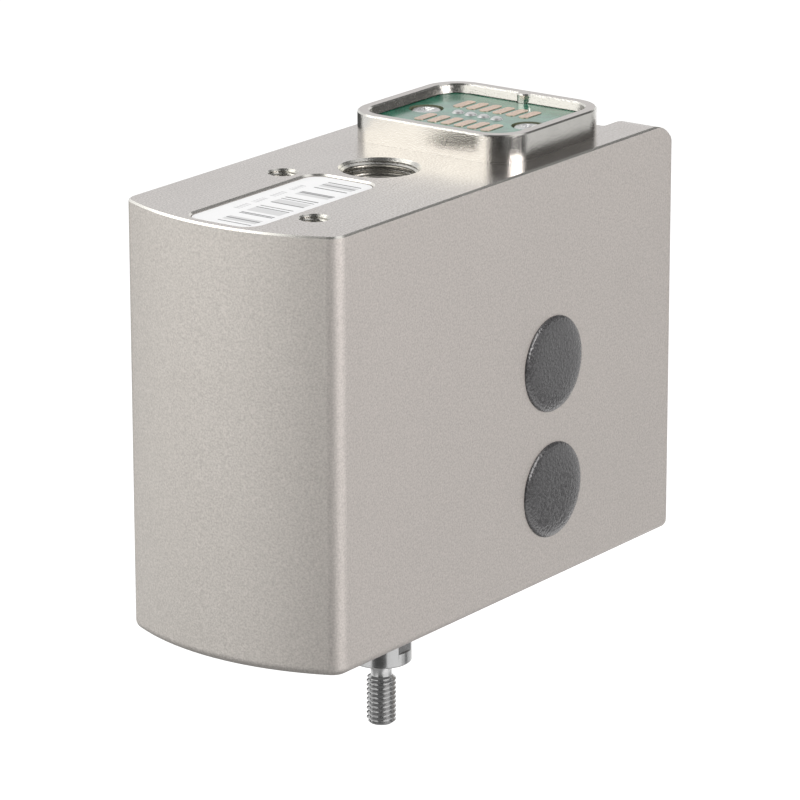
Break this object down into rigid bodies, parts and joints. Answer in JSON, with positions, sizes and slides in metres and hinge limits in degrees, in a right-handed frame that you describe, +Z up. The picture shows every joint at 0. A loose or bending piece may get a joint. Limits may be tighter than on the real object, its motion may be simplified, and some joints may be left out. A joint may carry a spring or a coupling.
{
  "type": "force sensor",
  "caption": "Block-shaped bending-beam force sensor with a bowed front, a central mounting thread and a raised contact collar on top, and a threaded loading shaft below.",
  "frame": {"origin": "centre of the mounting thread's mouth, in the plane of the top face", "axes": "+Z up along the load axis, out of the mounting thread; the bowed front faces -Y; +X is the width, towards the side with the hole plugs"},
  "size_m": [0.042, 0.0978, 0.0983],
  "materials": {
    "blasted_nickel": "bead-blasted under nickel plate, satin top face",
    "bright_nickel": "bright nickel plate",
    "steel": "turned, bright",
    "machined_aluminium": "machined",
    "board_green": "glossy solder mask",
    "gold_plate": "gold plated",
    "solder": "bright solder",
    "black_plastic": "fine pebbled",
    "white_plastic": "moulded",
    "cable_jacket": "smooth",
    "label_stock": "printed label",
    "gauge_foil": "polyimide foil"
  },
  "bodies": {
    "root": {"housing": "blasted_nickel", "bottom_cover": "blasted_nickel", "connector_collar": "bright_nickel", "collar_screws": "steel", "connector_board": "board_green", "contact_pads": "gold_plate", "solder_joints": "solder", "board_screws": "steel", "pin_header": "black_plastic", "header_pins": "gold_plate", "wire_socket": "white_plastic", "memory_chip": "black_plastic", "signal_cable": "cable_jacket", "serial_label": "label_stock", "upper_plug": "black_plastic", "lower_plug": "black_plastic", "load_cell": "machined_aluminium", "load_cell_screws": "steel", "load_cell_washers": "steel", "locating_dowels": "steel", "strain_gauges": "gauge_foil", "terminal_board": "board_green", "overload_pin": "steel", "loading_shaft": "steel", "shaft_lock_screw": "steel", "cover_screws": "steel"}
  },
  "joints": []
}
